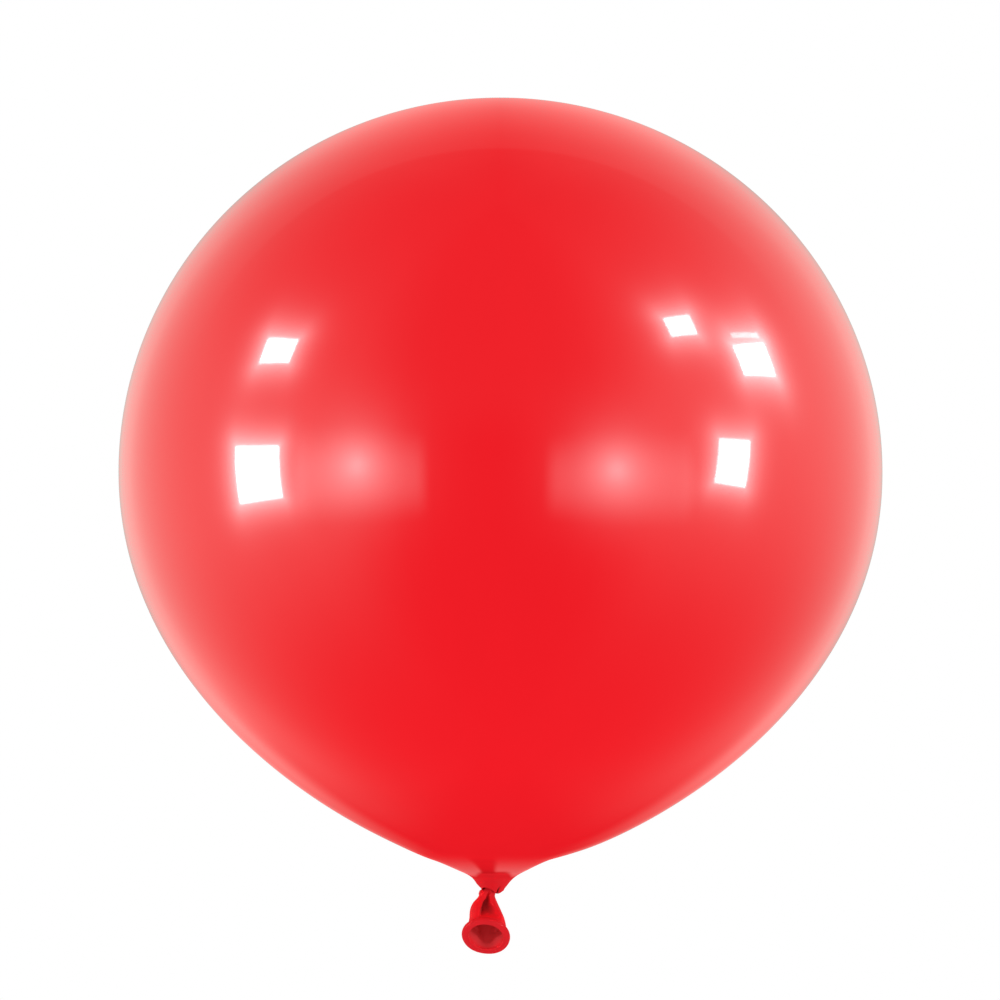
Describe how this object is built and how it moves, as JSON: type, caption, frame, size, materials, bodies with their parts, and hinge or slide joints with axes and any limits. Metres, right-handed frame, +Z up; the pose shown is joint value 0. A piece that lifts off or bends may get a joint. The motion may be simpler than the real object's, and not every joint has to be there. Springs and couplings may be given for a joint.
{
  "type": "latex balloon",
  "caption": "Round inflated latex balloon with a tied neck, a flared tail and a rolled lip; the neck leans and twists at the knot and the tail swings.",
  "frame": {"origin": "centre of the tied neck just under the knot, where a ribbon goes round", "axes": "+Z up through the body to the crown, -Y the front, the side that the tail's mouth turns to; the body's own axis is vertical and 5.7 mm to +X of the origin"},
  "size_m": [0.61, 0.61, 0.6827],
  "materials": {
    "stretched_film": "gloss",
    "gathered_film": "satin",
    "slack_film": "satin"
  },
  "bodies": {
    "knot": {"knot_core": "gathered_film", "knot_loop": "gathered_film"},
    "gather": {"gathered_neck": "gathered_film"},
    "cone": {"neck_cone": "stretched_film"},
    "balloon": {"envelope": "stretched_film"},
    "tail": {"neck_tail": "slack_film", "rolled_lip": "slack_film"}
  },
  "joints": [
    {"name": "lean_sideways", "type": "hinge", "parent": "knot", "child": "gather", "pos_m": [0.0057, 0, 0.0164], "axis": [0, 1, 0], "range_deg": [-12, 12], "stiffness_Nm_per_rad": 0.35},
    {"name": "lean_forwards", "type": "hinge", "parent": "gather", "child": "cone", "pos_m": [0.0057, 0, 0.0164], "axis": [1, 0, 0], "range_deg": [-12, 12], "stiffness_Nm_per_rad": 0.35},
    {"name": "neck_twist", "type": "hinge", "parent": "cone", "child": "balloon", "pos_m": [0.0057, 0, 0.0292], "axis": [0, 0, 1], "range_deg": [-90, 90], "stiffness_Nm_per_rad": 0.01},
    {"name": "tail_swing", "type": "hinge", "parent": "knot", "child": "tail", "pos_m": [0, 0, 0], "axis": [0, 1, 0], "range_deg": [-30, 30], "stiffness_Nm_per_rad": 0.002}
  ]
}
